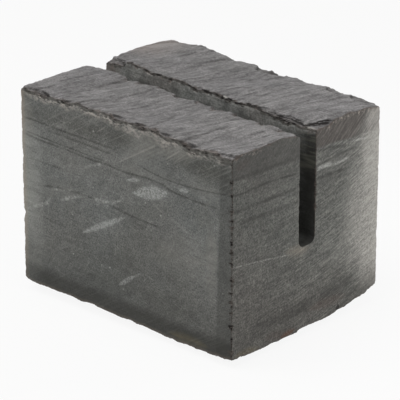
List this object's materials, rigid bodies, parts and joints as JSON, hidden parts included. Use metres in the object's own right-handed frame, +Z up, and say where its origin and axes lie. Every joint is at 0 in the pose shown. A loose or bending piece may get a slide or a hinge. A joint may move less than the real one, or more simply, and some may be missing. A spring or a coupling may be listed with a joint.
{
  "type": "sign holder",
  "caption": "Sawn block of split slate with a slot along its top that holds a thin upright sign, standing on small rubber feet.",
  "frame": {"origin": "on the table under the middle of the block", "axes": "+X along the slot, +Y to the back across the slot, +Z up; the front is -Y"},
  "size_m": [0.062, 0.0474, 0.0484],
  "materials": {
    "slate": "sawn sides, riven top and underside, dry and matt",
    "foot": "matt moulded rubber"
  },
  "bodies": {
    "root": {"slate_block": "slate", "foot_front_left": "foot", "foot_front_right": "foot", "foot_rear_left": "foot", "foot_rear_right": "foot"}
  },
  "joints": []
}
